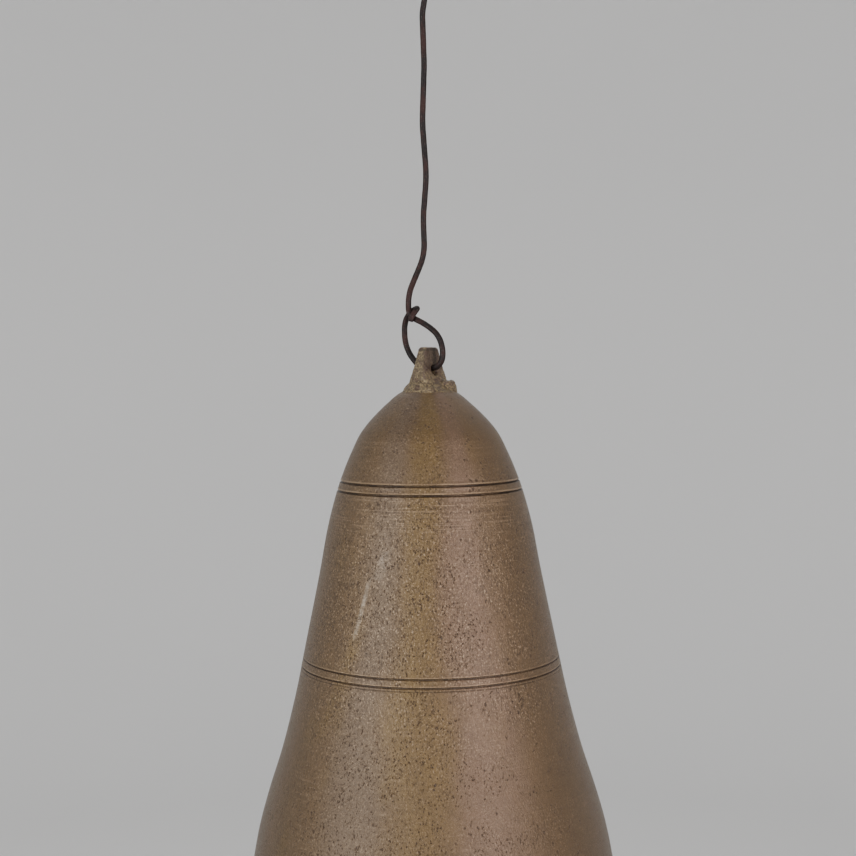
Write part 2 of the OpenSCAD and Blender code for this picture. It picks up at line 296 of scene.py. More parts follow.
class Shader:
    """Short names for building one procedural material. Lengths in it are millimetres."""

    def __init__(self, name):
        self.material = bpy.data.materials.new(name)
        self.material.use_nodes = True
        self.tree = self.material.node_tree
        self.tree.nodes.clear()
        self.surface = self.add("ShaderNodeBsdfPrincipled")
        output = self.add("ShaderNodeOutputMaterial")
        self.join(self.surface.outputs["BSDF"], output.inputs["Surface"])
        place = self.add("ShaderNodeTexCoord").outputs["Object"]
        self.place = self.vector("SCALE", place, scale=1 / MM)

    def add(self, kind, **settings):
        node = self.tree.nodes.new(kind)
        for key, value in settings.items():
            setattr(node, key, value)
        return node

    def join(self, start, end):
        self.tree.links.new(start, end)

    def feed(self, socket, value):
        if isinstance(value, bpy.types.NodeSocket):
            self.join(value, socket)
        else:
            socket.default_value = value

    def vector(self, operation, a, b=None, scale=None):
        node = self.add("ShaderNodeVectorMath", operation=operation)
        self.feed(node.inputs[0], a)
        if b is not None:
            self.feed(node.inputs[1], b)
        if scale is not None:
            node.inputs["Scale"].default_value = scale
        return node.outputs["Vector"]

    def math(self, operation, a, b=0.0):
        node = self.add("ShaderNodeMath", operation=operation)
        self.feed(node.inputs[0], a)
        self.feed(node.inputs[1], b)
        return node.outputs[0]

    def noise(self, size, detail=2.0, stretch=(1, 1, 1), roughness=0.5, seed=0):
        """Noise from 0 to 1 with features about size across, longer where stretch is over 1."""
        node = self.add("ShaderNodeTexNoise")
        scales = tuple(1 / (size * s) for s in stretch)
        moved = self.vector("MULTIPLY", self.place, scales)
        moved = self.vector("ADD", moved, (seed * 11.3, seed * 5.9, seed * 7.7))
        self.join(moved, node.inputs["Vector"])
        node.inputs["Scale"].default_value = 1
        node.inputs["Detail"].default_value = detail
        node.inputs["Roughness"].default_value = roughness
        return node.outputs["Fac"]

    def spots(self, size, radius, seed=0, stretch=(1, 1, 1)):
        """Ragged spots, 1 in the middle: one in each cell of about size, radius in cells."""
        node = self.add("ShaderNodeTexVoronoi", feature="F1")
        scales = tuple(1 / (size * s) for s in stretch)
        moved = self.vector("MULTIPLY", self.place, scales)
        ragged = self.add("ShaderNodeTexNoise")
        self.join(moved, ragged.inputs["Vector"])
        ragged.inputs["Scale"].default_value = 3.1
        ragged.inputs["Detail"].default_value = 1
        jitter = self.vector("SCALE", ragged.outputs["Color"], scale=0.9)
        moved = self.vector("ADD", moved, jitter)
        moved = self.vector("ADD", moved, (seed * 3.1, seed * 8.3, seed * 2.7))
        self.join(moved, node.inputs["Vector"])
        node.inputs["Scale"].default_value = 1
        chance = self.add("ShaderNodeSeparateColor")
        self.join(node.outputs["Color"], chance.inputs[0])
        away = self.math("DIVIDE", node.outputs["Distance"], self.spread(chance.outputs[0], 0.15, 1.15))
        return self.ramp(away, radius, radius * 0.35)

    def ramp(self, value, low, high):
        """0 at low and 1 at high, eased in and out."""
        node = self.add("ShaderNodeMapRange", interpolation_type="SMOOTHSTEP")
        turned = low > high
        self.feed(node.inputs["Value"], value)
        node.inputs["From Min"].default_value = min(low, high)
        node.inputs["From Max"].default_value = max(low, high)
        node.inputs["To Min"].default_value = 1 if turned else 0
        node.inputs["To Max"].default_value = 0 if turned else 1
        return node.outputs["Result"]

    def spread(self, value, low, high):
        """Maps 0..1 straight to low..high."""
        node = self.add("ShaderNodeMapRange", clamp=True)
        self.feed(node.inputs["Value"], value)
        node.inputs["To Min"].default_value = low
        node.inputs["To Max"].default_value = high
        return node.outputs["Result"]

    def mix(self, amount, a, b):
        node = self.add("ShaderNodeMix", data_type="RGBA")
        colours = [socket for socket in node.inputs if socket.type == "RGBA"]
        self.feed(node.inputs["Factor"], amount)
        self.feed(colours[0], a)
        self.feed(colours[1], b)
        return [socket for socket in node.outputs if socket.type == "RGBA"][0]

    def height(self, value, depth, under=None):
        """A bump depth millimetres high over the bumps under it."""
        node = self.add("ShaderNodeBump")
        node.inputs["Strength"].default_value = 1
        node.inputs["Distance"].default_value = depth * MM
        self.feed(node.inputs["Height"], value)
        if under is not None:
            self.join(under, node.inputs["Normal"])
        return node.outputs["Normal"]

    def split(self):
        node = self.add("ShaderNodeSeparateXYZ")
        self.join(self.place, node.inputs[0])
        return node.outputs

    def finish(self, colour, rough, metallic, normal=None, specular=0.5, coat=0.0, coat_rough=0.3):
        self.feed(self.surface.inputs["Base Color"], colour)
        self.feed(self.surface.inputs["Roughness"], rough)
        self.feed(self.surface.inputs["Metallic"], metallic)
        self.surface.inputs["Specular IOR Level"].default_value = specular
        self.surface.inputs["Coat Weight"].default_value = coat
        self.surface.inputs["Coat Roughness"].default_value = coat_rough
        if normal is not None:
            self.join(normal, self.surface.inputs["Normal"])
            if coat:
                self.join(normal, self.surface.inputs["Coat Normal"])
        return self.material


# ---- Bell: outline ----------------------------------------------------------

# Stations of [depth below the wire in the lug, radius], in millimetres, the
# same as the CAD outline's.
BELL_OUTLINE = np.array([
    [9.5, 9.0],
    [12.5, 14.6],
    [17.5, 20.7],
    [23, 26.5],
    [31, 33.3],
    [42, 39.0],
    [57, 45.0],
    [76, 50.4],
    [100, 55.0],
    [137, 62.6],
    [165, 68.5],
    [190, 75.1],
    [212, 82.3],
    [228, 86.8],
    [241, 89.5],
    [262, 92.3],
    [279, 93.0],
    [292, 91.8],
])
# Turned grooves: [depth below the wire, width, how deep they are cut].
GROOVES = (
    (56, 1.15, 0.8),
    (60.4, 1.15, 0.8),
    (143.5, 0.9, 0.5),
    (147.4, 0.9, 0.5),
    (148.9, 0.5, 0.15),
    (270, 1.15, 0.8),
    (274, 1.15, 0.8),
)
WALL_DEPTHS = (9.5, 60, 120, 200, 262, 292)
WALLS = (8, 5.5, 4.5, 4.5, 7, 7)
LIP_R = 3.5
# The inside starts this far below the wire, under the crown.
CEILING_DEPTH = 11.5
BELL_SIDES = 288
OUTER_STEP = 1.75
INNER_ROWS = 50


def outline_r(depth):
    """Radius of the smooth outline through the stations."""
    x, y = BELL_OUTLINE[:, 0], BELL_OUTLINE[:, 1]
    gap = np.diff(x)
    rise = np.diff(y) / gap
    slope = np.concatenate([
        [rise[0]],
        (rise[:-1] * gap[1:] + rise[1:] * gap[:-1]) / (gap[1:] + gap[:-1]),
        [rise[-1]],
    ])
    i = np.clip(np.searchsorted(x, depth, side="right") - 1, 0, len(gap) - 1)
    t = (depth - x[i]) / gap[i]
    return (
        y[i] * (2 * t**3 - 3 * t**2 + 1)
        + y[i + 1] * (3 * t**2 - 2 * t**3)
        + slope[i] * gap[i] * (t**3 - 2 * t**2 + t)
        + slope[i + 1] * gap[i] * (t**3 - t**2)
    )


def groove_cut(depth):
    """How deep the turned grooves cut at a depth, with a raised burr along each edge."""
    cut = np.zeros_like(depth)
    for middle, width, deep in GROOVES:
        off = np.abs(depth - middle) / (width / 2)
        cut += deep * (1 - smoothstep(0.25, 1.0, off))
        cut -= 0.14 * deep * np.exp(-(((off - 1.4) / 0.35) ** 2))
    return cut


def outer_depths():
    """Even steps down the outside, with close ones across each groove."""
    start, end = BELL_OUTLINE[0, 0], BELL_OUTLINE[-1, 0] - LIP_R
    steps = np.arange(start, end, OUTER_STEP)
    across = np.array([-1.8, -1.4, -1.0, -0.7, -0.45, -0.2, 0.2, 0.45, 0.7, 1.0, 1.4, 1.8])
    close = np.concatenate([middle + across * width / 2 for middle, width, _ in GROOVES])
    far = np.min(np.abs(steps[:, None] - close[None, :]), axis=1) > 0.6
    return np.sort(np.concatenate([steps[far], close, [end]]))


def bell_profile():
    """The section as (radius, height), from the crown outside round to the crown inside."""
    outer = outer_depths()
    outer_r = outline_r(outer) - groove_cut(outer)
    lip_depth = BELL_OUTLINE[-1, 0] - LIP_R
    lip_middle = outline_r(np.array([lip_depth]))[0] - LIP_R
    turn = np.radians(np.arange(15, 180, 15))
    lip_r = lip_middle + LIP_R * np.cos(turn)
    lip_z = -lip_depth - LIP_R * np.sin(turn)
    inner = np.linspace(lip_depth, CEILING_DEPTH, INNER_ROWS)
    slope = (outline_r(inner + 0.1) - outline_r(inner - 0.1)) / 0.2
    square = np.sqrt(1 + slope**2)
    wall = np.interp(inner, WALL_DEPTHS, WALLS)
    inner_r = outline_r(inner) - wall / square
    inner_z = -inner - wall * slope / square
    radius = np.concatenate([outer_r, lip_r, inner_r])
    height = np.concatenate([-outer, lip_z, inner_z])
    return radius * MM, height * MM + LUG_WIRE.z


def make_shell():
    radius, height = bell_profile()
    shell = turned("bell", radius, height, BELL_SIDES)
    # The casting is a trace out of round and out of true, as old turned work is.
    roughen(shell, [(0.09, 0.35 * MM, 41), (0.03, 0.09 * MM, 42)])
    return shell


# ---- Bell: lug --------------------------------------------------------------

# Levels of the cast lug: height above the wire, size along X, size along Y, and how
# square it is (2 is an ellipse).
LUG_LEVELS = (
    (10.3, 4.6, 8.4, 6),
    (9.6, 5.6, 9.6, 9),
    (8.0, 5.9, 10.4, 12),
    (1.5, 6.8, 14.6, 12),
    (-3.0, 9.2, 16.8, 8),
    (-7.0, 13.4, 19.6, 4),
    (-10.0, 20.4, 23.4, 3),
    (-12.2, 27.0, 27.2, 2),
    (-16.0, 26.4, 26.8, 2),
)
LUG_HOLE_R = 2.8 * MM
LUG_HOLE_DROP = 1.23 * MM


def rounded_ring(x_size, y_size, power, sides):
    """A closed outline between a box and an ellipse; a high power is boxier."""
    turn = TAU * np.arange(sides) / sides
    c, s = np.cos(turn), np.sin(turn)
    reach = (np.abs(c) ** power + np.abs(s) ** power) ** (-1 / power)
    return x_size / 2 * reach * c, y_size / 2 * reach * s


def lofted(name, levels, sides=64):
    points = []
    for height, x_size, y_size, power in levels:
        x, y = rounded_ring(x_size, y_size, power, sides)
        points.append(np.stack([x, y, np.full(sides, height)], axis=-1))
    points = np.concatenate(points)
    faces = grid_faces(len(levels), sides)
    faces.append(list(range(sides)))
    faces.append(list(range((len(levels) - 1) * sides, len(levels) * sides))[::-1])
    return new_piece(name, points * MM + np.array(LUG_WIRE), faces)


def remeshed(piece, voxel):
    modifier = piece.modifiers.new("remesh", "REMESH")
    modifier.mode = "VOXEL"
    modifier.voxel_size = voxel
    modifier.use_smooth_shade = True
    apply_modifiers(piece)


def softened(piece, factor, times):
    modifier = piece.modifiers.new("soften", "SMOOTH")
    modifier.factor = factor
    modifier.iterations = times
    apply_modifiers(piece)


def combined(piece, other, operation):
    modifier = piece.modifiers.new("combine", "BOOLEAN")
    modifier.operation = operation
    modifier.object = other
    modifier.solver = "MANIFOLD"
    apply_modifiers(piece)
    bpy.data.objects.remove(other)


def make_lug():
    lug = lofted("lug", LUG_LEVELS)
    # A lump of metal left by the mould stands out at the foot, on the +X side.
    ledge = lofted("ledge", [
        (-6.2, 4.5, 5.0, 3),
        (-6.9, 7.0, 7.6, 3),
        (-9.5, 8.6, 9.2, 3),
        (-14, 9.4, 9.8, 2.5),
    ], sides=32)
    ledge.data.transform(Matrix.Translation((7.4 * MM, 5.4 * MM, 0)))
    combined(lug, ledge, "UNION")
    remeshed(lug, 0.42 * MM)
    softened(lug, 0.5, 2)
    # The foot is the roughest, and the flanks were filed.
    roughen(lug, [
        (3.4 * MM, 0.36 * MM, 1),
        (1.5 * MM, 0.3 * MM, 2),
        (0.85 * MM, 0.16 * MM, 3),
    ], weight=lambda points: 0.35 + 0.65 * smoothstep(1.5, -6.5, (points[:, 2] - LUG_WIRE.z) / MM))
    hole_line = [(x * MM, 0, LUG_WIRE.z - LUG_HOLE_DROP) for x in (-15, 0, 15)]
    combined(lug, tube("hole", hole_line, LUG_HOLE_R, 48), "DIFFERENCE")
    return lug


def inside_faces(mesh):
    """For each face, whether it is on the inside of the bell."""
    middles = np.empty(len(mesh.polygons) * 3)
    mesh.polygons.foreach_get("center", middles)
    middles = middles.reshape(-1, 3)
    depths = (LUG_WIRE.z - middles[:, 2]) / MM
    radii = np.hypot(middles[:, 0], middles[:, 1]) / MM
    skin = 3.2
    outside = outline_r(np.clip(depths, BELL_OUTLINE[0, 0], BELL_OUTLINE[-1, 0]))
    return (depths > 13) & (radii < outside - skin)


def make_bell():
    bell = make_shell()
    combined(bell, make_lug(), "UNION")
    # Two sockets in the crown hold the staple's legs.
    for y in (-STAPLE_SPREAD, STAPLE_SPREAD):
        line = [(0, y * MM, LUG_WIRE.z - depth * MM) for depth in (STAPLE_TOP, 20, 26)]
        combined(bell, tube("socket", line, (STAPLE_R + SOCKET_PLAY) * MM, 32), "DIFFERENCE")
    bell.data.shade_smooth()
    mesh = finished(bell, turned_bronze(), cast_bronze()).data
    mesh.polygons.foreach_set("material_index", inside_faces(mesh).astype(np.int32))
    return bell


# ---- Bronze -----------------------------------------------------------------

# Streaks on the bell, worn smoother than the patina and coloured bright as a painted highlight:
# the angle round it and the depth where each starts and ends, its width and how strong it is.
RUB_AND_SHEEN_STREAKS = (
    (-72.5, 83, -77.5, 101, 4.0, 0.5),
    (-81.0, 97, -87.0, 129, 1.8, 1.0),
    (-64.0, 222, -67.0, 238, 2.0, 0.8),
)


def bands(s, angle, depth):
    """Brown patina with painted reflections: bands of grey, gold and pink down the front, gold patina
    patches elsewhere, and painted shade towards the mouth.
    """
    brown = srgb(120, 94, 62)
    # The grey, gold and pink bands are painted reflections, at -77, -53 and -30 degrees round the axis.
    sway = s.math("SUBTRACT", s.noise(38, detail=3, stretch=(1, 1, 2), seed=1), 0.5)
    swayed = s.math("ADD", angle, s.math("MULTIPLY", sway, 30))
    grey = s.ramp(s.math("ABSOLUTE", s.math("ADD", swayed, 77)), 16, 2)
    gold = s.ramp(s.math("ABSOLUTE", s.math("ADD", swayed, 53)), 17, 2)
    pink = s.ramp(s.math("ABSOLUTE", s.math("ADD", swayed, 30)), 16, 2)
    elsewhere = s.noise(26, detail=2, stretch=(1, 1, 2.2), seed=2)
    gold = s.math("MAXIMUM", gold, s.ramp(elsewhere, 0.56, 0.72))
    colour = s.mix(s.math("MULTIPLY", gold, 0.85), brown, srgb(133, 106, 57))
    colour = s.mix(s.math("MULTIPLY", pink, 0.8), colour, srgb(135, 106, 86))
    colour = s.mix(s.math("MULTIPLY", grey, 0.8), colour, srgb(117, 97, 79))
    clouds = s.spread(s.noise(7, detail=4, stretch=(1, 1, 2), roughness=0.6, seed=16), 0, 0.8)
    colour = s.mix(clouds, colour, srgb(100, 79, 54))
    # Painted shade: the colour darkens towards the mouth, up to 30 percent of the way to a deeper brown.
    return s.mix(s.spread(s.ramp(depth, 130, 250), 0, 0.3), colour, srgb(92, 71, 46))


def mottle(s, colour, streaks, toward_minus_y, depth):
    """Adds dark streaks down the bell and a close mottle of dark and light grain, calmer on the dome and
    low down. The light grain is partly painted glints.
    """
    grain = s.noise(0.75, detail=3, roughness=0.6, stretch=(1, 1, 1.4), seed=4)
    amount = s.math("ADD", s.noise(20, detail=2, seed=19), s.math("MULTIPLY", toward_minus_y, 0.14))
    amount = s.spread(s.ramp(amount, 0.42, 0.62), 0.5, 1)
    on_dome = s.spread(s.ramp(depth, 40, 75), 0.6, 1)
    low_down = s.spread(s.ramp(depth, 195, 140), 0.5, 1)
    amount = s.math("MULTIPLY", amount, s.math("MULTIPLY", low_down, on_dome))
    for mark, strength, tint in (
        (s.ramp(streaks, 0.45, 0.7), 0.6, srgb(76, 56, 34)),
        # Light grain: partly the metal's own grain, partly painted glints.
        (s.ramp(grain, 0.54, 0.72), 0.95, srgb(178, 152, 122)),
        (s.ramp(grain, 0.46, 0.3), 0.9, srgb(66, 46, 25)),
    ):
        share = s.math("MULTIPLY", mark, s.math("MULTIPLY", amount, strength))
        colour = s.mix(share, colour, tint)
    return colour


def casting_pits(s, toward_minus_y):
    """Specks and casting pits, thick in some places and thin in others."""
    crowd = s.noise(20, detail=2, stretch=(1, 1, 1.4), seed=5)
    crowd = s.ramp(s.math("ADD", crowd, s.math("MULTIPLY", toward_minus_y, 0.14)), 0.42, 0.66)
    fine = s.math("MULTIPLY", s.spots(1.05, 0.42, seed=6, stretch=(1, 1, 1.4)), crowd)
    coarse = s.math("MULTIPLY", s.spots(1.9, 0.42, seed=7, stretch=(1, 1, 1.3)),
                    s.ramp(s.noise(7, detail=3, seed=8), 0.5, 0.6))
    return s.math("MAXIMUM", s.math("MULTIPLY", fine, 0.95), s.math("MULTIPLY", coarse, 0.9))


def groove_marks(s, depth):
    """The dirt that lies in the turned grooves, and a painted highlight along the upper edge of each,
    where the metal is also worn bright.
    """
    dirt = 0.0
    edge_highlight = 0.0
    worn = s.spread(s.ramp(s.noise(7, detail=3, seed=17), 0.35, 0.6), 0.45, 1)
    for middle, width, deep in GROOVES:
        above = s.math("SUBTRACT", middle, depth)
        off = s.math("ABSOLUTE", above)
        line = s.ramp(off, width * 0.55, width * 0.2)
        line = s.math("MULTIPLY", line, min(1.0, 0.45 + deep * 0.8))
        dirt = s.math("MAXIMUM", line, dirt)
        # A painted highlight along the upper edge of this groove.
        off = s.math("ABSOLUTE", s.math("SUBTRACT", above, width * 0.85))
        line = s.math("MULTIPLY", s.ramp(off, width * 0.4, width * 0.1), min(0.8, deep))
        edge_highlight = s.math("MAXIMUM", line, edge_highlight)
    dirt = s.math("MULTIPLY", dirt, worn)
    return dirt, s.math("MULTIPLY", edge_highlight, s.math("MULTIPLY", worn, 0.75))


def turning_strength(s, depth):
    """How strongly the fine turning lines show: most below the upper grooves."""
    below_grooves = s.math("MULTIPLY", s.ramp(depth, 60, 64), s.ramp(depth, 84, 70))
    broken = s.ramp(s.noise(11, detail=3, stretch=(1, 1, 0.35), seed=20), 0.38, 0.6)
    strength = s.ramp(s.noise(26, detail=1, stretch=(1, 1, 0.6), seed=13), 0.48, 0.66)
    strength = s.math("MAXIMUM", s.math("MULTIPLY", strength, 0.3), below_grooves)
    return s.spread(s.math("MULTIPLY", strength, broken), 0.08, 1)


def rub_and_sheen_streaks(s, angle, depth, radius, turning):
    """Streaks worn smoother and coloured bright as a painted highlight, broken up by the metal's own
    grain.
    """
    rub_and_sheen = 0.0
    for angle_top, top, angle_low, low, width, strength in RUB_AND_SHEEN_STREAKS:
        lean = (angle_low - angle_top) / (low - top)
        middle = s.math("ADD", s.math("MULTIPLY", depth, lean), angle_top - top * lean)
        away = s.math("MULTIPLY", s.math("RADIANS", s.math("SUBTRACT", angle, middle)), radius)
        mark = s.ramp(s.math("ABSOLUTE", away), width, width * 0.1)
        mark = s.math("MULTIPLY", mark, strength)
        ends = s.math("MULTIPLY", s.ramp(depth, top, top + 5), s.ramp(depth, low, low - 5))
        rub_and_sheen = s.math("MAXIMUM", s.math("MULTIPLY", mark, ends), rub_and_sheen)
    patchy = s.spread(s.ramp(s.noise(4, detail=3, seed=21), 0.4, 0.62), 0.35, 1)
    ribbed = s.spread(s.ramp(turning, 0.42, 0.58), 0.6, 1)
    return s.math("MULTIPLY", s.math("MULTIPLY", rub_and_sheen, patchy), ribbed)


def lug_colour(s, x, depth, grain):
    """Rough cast metal with bright grains. One flank is darkened in streaks with painted shade,
    and a crease runs under the lug's top."""
    colour = s.mix(s.ramp(grain, 0.36, 0.66), srgb(86, 70, 53), srgb(160, 141, 106))
    sparkle = s.ramp(s.noise(0.8, detail=2, seed=23), 0.56, 0.66)
    sparkle = s.math("MULTIPLY", sparkle, s.ramp(depth, -1, 7))
    colour = s.mix(s.math("MULTIPLY", sparkle, 0.6), colour, srgb(198, 174, 126))
    patches = s.ramp(s.noise(3.4, detail=2, seed=11), 0.5, 0.66)
    colour = s.mix(s.math("MULTIPLY", patches, 0.7), colour, srgb(88, 66, 58))
    # Painted shade on the +X flank, the one with the hole, broken into vertical streaks.
    shaded_flank = s.math("MULTIPLY", s.ramp(x, 1.9, 2.7), s.ramp(depth, 3.5, -1))
    flank_streaks = s.spread(s.noise(0.9, detail=2, stretch=(1, 1, 8), seed=22), 0.35, 1)
    colour = s.mix(s.math("MULTIPLY", shaded_flank, flank_streaks), colour, srgb(76, 56, 44))
    crease = s.ramp(s.math("ABSOLUTE", s.math("ADD", depth, 8.9)), 0.5, 0.15)
    return s.mix(s.math("MULTIPLY", crease, 0.7), colour, srgb(58, 46, 36))


def turned_bronze():
    """The outside: turned bronze under an old patina, and the lug as it was cast."""
    s = Shader("turned_bronze")
    x, y, z = s.split()
    depth = s.math("SUBTRACT", LUG_WIRE.z / MM, z)
    radius = s.math("SQRT", s.math("ADD", s.math("MULTIPLY", x, x), s.math("MULTIPLY", y, y)))
    angle = s.math("DEGREES", s.math("ARCTAN2", y, x))
    # 1 on the -Y side, 0 on the far side. The specks and the mottle, with its painted glints, are
    # thickest there.
    toward_minus_y = s.ramp(s.math("DIVIDE", s.math("MULTIPLY", y, -1.0), radius), 0.3, 0.98)

    colour = bands(s, angle, depth)
    streaks = s.noise(0.8, detail=3, stretch=(1, 1, 7), seed=3)
    colour = mottle(s, colour, streaks, toward_minus_y, depth)
    pits = casting_pits(s, toward_minus_y)
    colour = s.mix(pits, colour, srgb(70, 46, 26))

    dirt, edge_highlight = groove_marks(s, depth)
    colour = s.mix(dirt, colour, srgb(56, 40, 28))
    # Painted highlight along the upper edge of each groove.
    colour = s.mix(edge_highlight, colour, srgb(196, 166, 130))

    turning = s.noise(0.5, detail=2, stretch=(70, 70, 1), seed=12)
    lines = turning_strength(s, depth)
    bright = s.math("MULTIPLY", s.ramp(turning, 0.5, 0.66), lines)
    colour = s.mix(s.math("MULTIPLY", bright, 0.34), colour, srgb(186, 158, 126))
    dark = s.math("MULTIPLY", s.ramp(turning, 0.5, 0.36), lines)
    colour = s.mix(s.math("MULTIPLY", dark, 0.4), colour, srgb(84, 66, 48))

    # Painted highlight along the worn streaks.
    rub_and_sheen = rub_and_sheen_streaks(s, angle, depth, radius, turning)
    colour = s.mix(s.math("MULTIPLY", rub_and_sheen, 0.5), colour, srgb(206, 190, 170))

    # The lug and its foot are as cast, down to a ragged edge.
    ragged = s.math("MULTIPLY", s.math("SUBTRACT", s.noise(2.5, detail=2, seed=9), 0.5), 2.2)
    cast = s.ramp(s.math("ADD", depth, ragged), 12.3, 11.7)
    cast_grain = s.noise(1.0, detail=4, roughness=0.65, seed=10)
    colour = s.mix(cast, colour, lug_colour(s, x, depth, cast_grain))

    not_cast = s.math("SUBTRACT", 1.0, cast)
    lines = s.math("MULTIPLY", lines, not_cast)
    normal = s.height(s.math("MULTIPLY", turning, lines), 0.09)
    normal = s.height(s.math("MULTIPLY", streaks, not_cast), 0.07, normal)
    skin = s.noise(0.75, detail=4, roughness=0.65, stretch=(1, 1, 1.3), seed=14)
    normal = s.height(skin, 0.28, normal)
    normal = s.height(s.noise(4.5, detail=2, seed=18), 0.12, normal)
    normal = s.height(s.math("MULTIPLY", pits, -1.0), 0.25, normal)
    normal = s.height(s.math("MULTIPLY", cast_grain, cast), 0.6, normal)

    rough = s.spread(s.noise(12, detail=3, seed=15), 0.44, 0.56)
    rough = s.math("ADD", rough, s.math("MULTIPLY", pits, 0.3))
    rough = s.math("ADD", rough, s.math("MULTIPLY", cast, 0.12))
    rough = s.math("SUBTRACT", rough, s.math("MULTIPLY", s.math("MAXIMUM", rub_and_sheen, edge_highlight), 0.12))
    return s.finish(colour, rough, 0.6, normal, specular=0.3, coat=0.7, coat_rough=0.3)


def cast_bronze():
    """The inside, dark and as it came from the mould."""
    s = Shader("cast_bronze")
    patches = s.noise(18, detail=4, roughness=0.6, seed=51)
    grain = s.noise(0.9, detail=4, roughness=0.65, seed=52)
    colour = s.mix(s.ramp(patches, 0.38, 0.64), srgb(70, 56, 43), srgb(88, 78, 60))
    colour = s.mix(s.ramp(grain, 0.45, 0.7), colour, srgb(112, 92, 68))
    colour = s.mix(s.math("MULTIPLY", s.ramp(s.noise(6, detail=3, seed=53), 0.56, 0.7), 0.6),
                   colour, srgb(72, 88, 74))
    normal = s.height(grain, 0.3)
    normal = s.height(s.noise(3.2, detail=3, seed=54), 0.5, normal)
    return s.finish(colour, s.spread(patches, 0.55, 0.72), 0.5, normal)


# ---- Iron -------------------------------------------------------------------

def iron(name, dark, rust, rust_amount, rough, depth=0.08):
    """Old iron: dark scale with rust in patches and a fine pitted grain, depth high."""
    s = Shader(name)
    worn = tuple(channel * 0.55 for channel in dark[:3]) + (1,)
    patches = s.noise(9, detail=4, roughness=0.6, seed=21)
    flecks = s.noise(1.2, detail=3, seed=22)
    bloom = s.math("ADD", patches, s.math("MULTIPLY", flecks, 0.3))
    bloom = s.ramp(bloom, 0.78 - rust_amount, 0.98 - rust_amount)
    colour = s.mix(s.ramp(flecks, 0.3, 0.7), dark, worn)
    colour = s.mix(bloom, colour, rust)
    colour = s.mix(s.math("MULTIPLY", s.ramp(s.noise(0.7, detail=2, seed=23), 0.55, 0.75), 0.35),
                   colour, srgb(120, 110, 102))
    grain = s.noise(0.5, detail=4, roughness=0.65, seed=24)
    normal = s.height(grain, depth)
    normal = s.height(s.noise(2.5, detail=2, seed=25), 0.12, normal)
    roughness = s.math("ADD", s.math("MULTIPLY", bloom, 0.2), rough)
    return s.finish(colour, roughness, 0.45, normal)


# ---- Bars bent in one plane -------------------------------------------------

def followed(at, steps, step):
    """Stations (x, y, heading) of a bent bar, an even step apart. Each entry of steps is
    (straight run, bend radius, turn in degrees), with a left turn positive."""
    stations = [tuple(at)]
    x, y, heading = at
    for run, radius, turn in steps:
        count = max(1, math.ceil(run / step)) if run else 0
        for k in range(1, count + 1):
            length = run * k / count
            stations.append((x + length * math.cos(heading), y + length * math.sin(heading), heading))
        x, y, _ = stations[-1]
        arc = math.radians(turn)
        bent = radius * abs(arc)
        count = max(2, math.ceil(bent / step)) if turn else 0
        side = math.copysign(radius, turn)
        for k in range(1, count + 1):
            after = heading + arc * k / count
            stations.append((
                x + side * (math.sin(after) - math.sin(heading)),
                y + side * (math.cos(heading) - math.cos(after)),
                after,
            ))
        x, y, heading = stations[-1]
    return stations


# ---- Wire -------------------------------------------------------------------

WIRE_R = 1.45
# The visible wire is a trace thicker than the CAD wire, for its scale.
WIRE_SKIN = 0.03
EYE_INNER_R = 6.5
EYE_R = EYE_INNER_R + WIRE_R
# Bars that hang on one another are this far apart.
HANG_GAP = 0.12
LOOP_BENDS = [
    (2.8, 6.5, 85),
    (0, 14, 60),
    (0, 45, 12),
    (4.6, 6, -67),
    (1.5, 20, -30),
]
STANDING_BENDS = [
    (0, 22, 32),
    (8, 60, -8.5),
    (10, 60, 11.5),
    (16, 60, -8),
    (22, 60, 5),
    (20, 20, -14),
    (4, 20, 12),
]
SLANT = math.radians(60)
FREE_ARM_BENDS = [
    (2.8, 6, -45),
    (4.5, 18, -45),
]
# The free end hooks round the standing part, as the camera sees it: [right, nearer,
# up] from the wire in the lug. It passes behind, bulges out on the right and comes
# down in front to its cut end.
KNOT = (
    (-11.7, -10.4, 21.8),
    (-10.9, -10.9, 25.0),
    (-9.3, -11.0, 27.6),
    (-7.3, -10.3, 29.3),
    (-5.8, -8.6, 30.0),
    (-5.4, -6.7, 29.9),
    (-6.0, -5.1, 29.0),
    (-7.1, -4.2, 27.4),
    (-8.1, -3.7, 25.5),
    (-8.8, -3.5, 23.4),
)
# The wrapped end starts this part of a turn round the neck and ends after WRAPS turns.
WRAP_START = 0.16
WRAPS = 2.8
WRAP_PITCH = 2.95
WRAP_GAP = 0.02
# A bend this wide leads from the neck into the eye.
FLARE_R = 4
WIRE_STEP = 0.8


